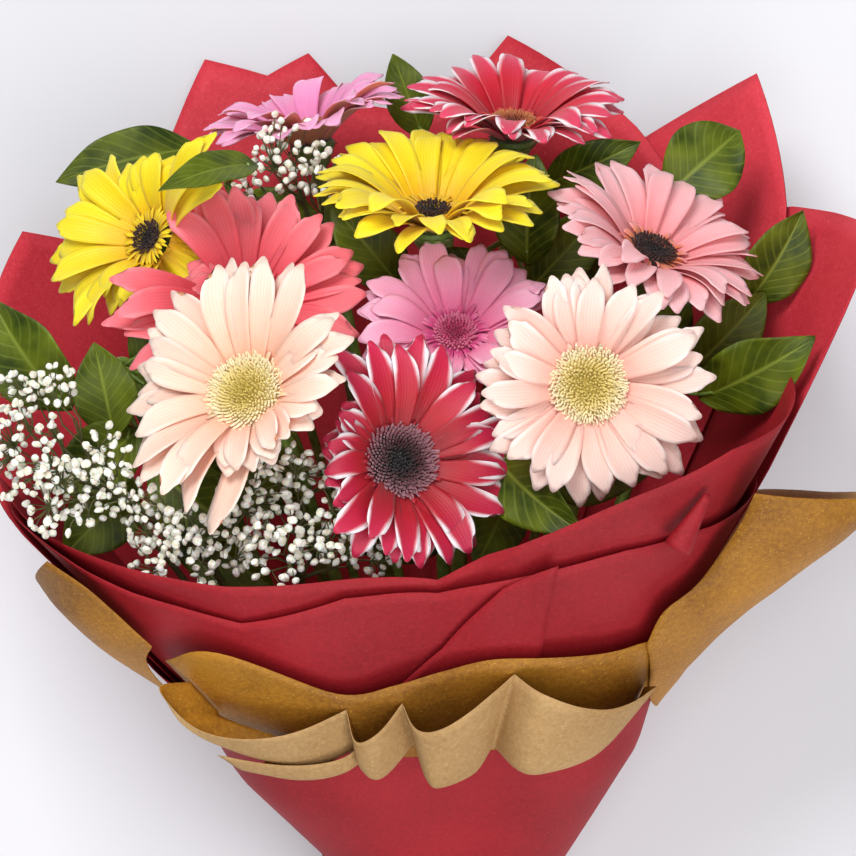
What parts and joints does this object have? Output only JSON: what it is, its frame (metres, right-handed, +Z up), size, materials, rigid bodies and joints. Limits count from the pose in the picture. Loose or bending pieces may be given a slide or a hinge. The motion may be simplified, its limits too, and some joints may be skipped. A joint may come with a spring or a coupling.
{
  "type": "wrapped gerbera bouquet",
  "caption": "Round hand-tied bunch of mixed gerberas with leaves and gypsophila, wrapped in layered red paper with a kraft paper frill, lying on its back.",
  "frame": {"origin": "on the surface, under the middle of the bunch", "axes": "+X across the bunch, +Y from the cut stem ends to the flower heads, +Z up; the bunch lies on its back"},
  "size_m": [0.4316, 0.5556, 0.2734],
  "materials": {
    "petal_mauve": "soft matte petal",
    "petal_crimson": "soft matte petal",
    "petal_lemon": "soft matte petal",
    "petal_coral": "soft matte petal",
    "petal_peach": "soft matte petal",
    "petal_yellow": "soft matte petal",
    "petal_pink": "soft matte petal",
    "petal_raspberry": "soft matte petal",
    "petal_blush": "soft matte petal",
    "petal_salmon": "soft matte petal",
    "disc_cream": "matte florets",
    "disc_dark": "matte florets",
    "disc_brown": "matte florets",
    "disc_wine": "matte florets",
    "stem_green": "smooth fresh stem",
    "leaf_green": "satin leaf",
    "gypsophila_white": "matte florets",
    "paper_red": "matte wrapping paper",
    "paper_kraft": "matte kraft paper with a slight sheen",
    "jute_twine": "rough twine",
    "ribbon_red": "satin ribbon"
  },
  "bodies": {
    "root": {"gerbera_mauve_petals": "petal_mauve", "gerbera_mauve_disc": "disc_brown", "gerbera_mauve_stem": "stem_green", "gerbera_crimson_petals": "petal_crimson", "gerbera_crimson_disc": "disc_brown", "gerbera_crimson_stem": "stem_green", "gerbera_lemon_petals": "petal_lemon", "gerbera_lemon_disc": "disc_dark", "gerbera_lemon_stem": "stem_green", "gerbera_coral_petals": "petal_coral", "gerbera_coral_disc": "disc_cream", "gerbera_coral_stem": "stem_green", "gerbera_peach_petals": "petal_peach", "gerbera_peach_disc": "disc_cream", "gerbera_peach_stem": "stem_green", "gerbera_yellow_petals": "petal_yellow", "gerbera_yellow_disc": "disc_dark", "gerbera_yellow_stem": "stem_green", "gerbera_pink_petals": "petal_pink", "gerbera_pink_disc": "disc_cream", "gerbera_pink_stem": "stem_green", "gerbera_raspberry_petals": "petal_raspberry", "gerbera_raspberry_disc": "disc_wine", "gerbera_raspberry_stem": "stem_green", "gerbera_blush_petals": "petal_blush", "gerbera_blush_disc": "disc_cream", "gerbera_blush_stem": "stem_green", "gerbera_salmon_petals": "petal_salmon", "gerbera_salmon_disc": "disc_dark", "gerbera_salmon_stem": "stem_green", "leaves_left_back": "leaf_green", "leaves_left": "leaf_green", "leaves_middle": "leaf_green", "leaves_right_back": "leaf_green", "leaves_right": "leaf_green", "leaves_front": "leaf_green", "leaves_top": "leaf_green", "gypsophila_left": "gypsophila_white", "gypsophila_low_left": "gypsophila_white", "gypsophila_low_middle": "gypsophila_white", "gypsophila_top": "gypsophila_white", "paper_back_middle": "paper_red", "paper_back_left": "paper_red", "paper_back_right": "paper_red", "paper_right": "paper_red", "paper_left": "paper_red", "paper_inner": "paper_red", "paper_front": "paper_red", "paper_fold": "paper_red", "paper_sleeve": "paper_red", "kraft_loops": "paper_kraft", "kraft_strip": "paper_kraft", "kraft_wing_right": "paper_kraft", "kraft_wing_left": "paper_kraft", "tie_twine": "jute_twine", "ribbon_band": "ribbon_red"}
  },
  "joints": []
}
